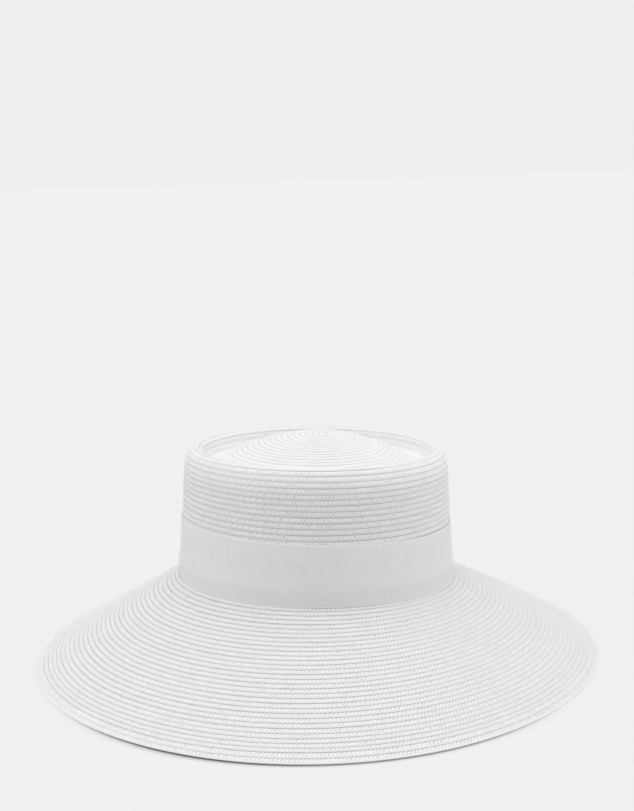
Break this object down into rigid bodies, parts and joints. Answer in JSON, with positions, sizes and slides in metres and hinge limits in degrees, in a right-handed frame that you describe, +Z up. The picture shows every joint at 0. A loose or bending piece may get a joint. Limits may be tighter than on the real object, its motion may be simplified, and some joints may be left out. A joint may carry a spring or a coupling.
{
  "type": "droop brim hat",
  "caption": "Wide-brimmed sun hat sewn from straw braid, with a telescope crown, a drooping brim and a plain ribbon band.",
  "frame": {"origin": "centre of the oval of the brim's edge, on the surface that the hat stands on", "axes": "+Z up out of the surface, front of the hat towards -Y, +X to the side that is on the right seen from the front"},
  "size_m": [0.3522, 0.4118, 0.1368],
  "materials": {
    "straw_braid": "matte white sewn straw braid with a slight sheen",
    "grosgrain_ribbon": "matte white ribbed grosgrain ribbon"
  },
  "bodies": {
    "root": {"crown": "straw_braid", "brim": "straw_braid", "ribbon_band": "grosgrain_ribbon"}
  },
  "joints": []
}
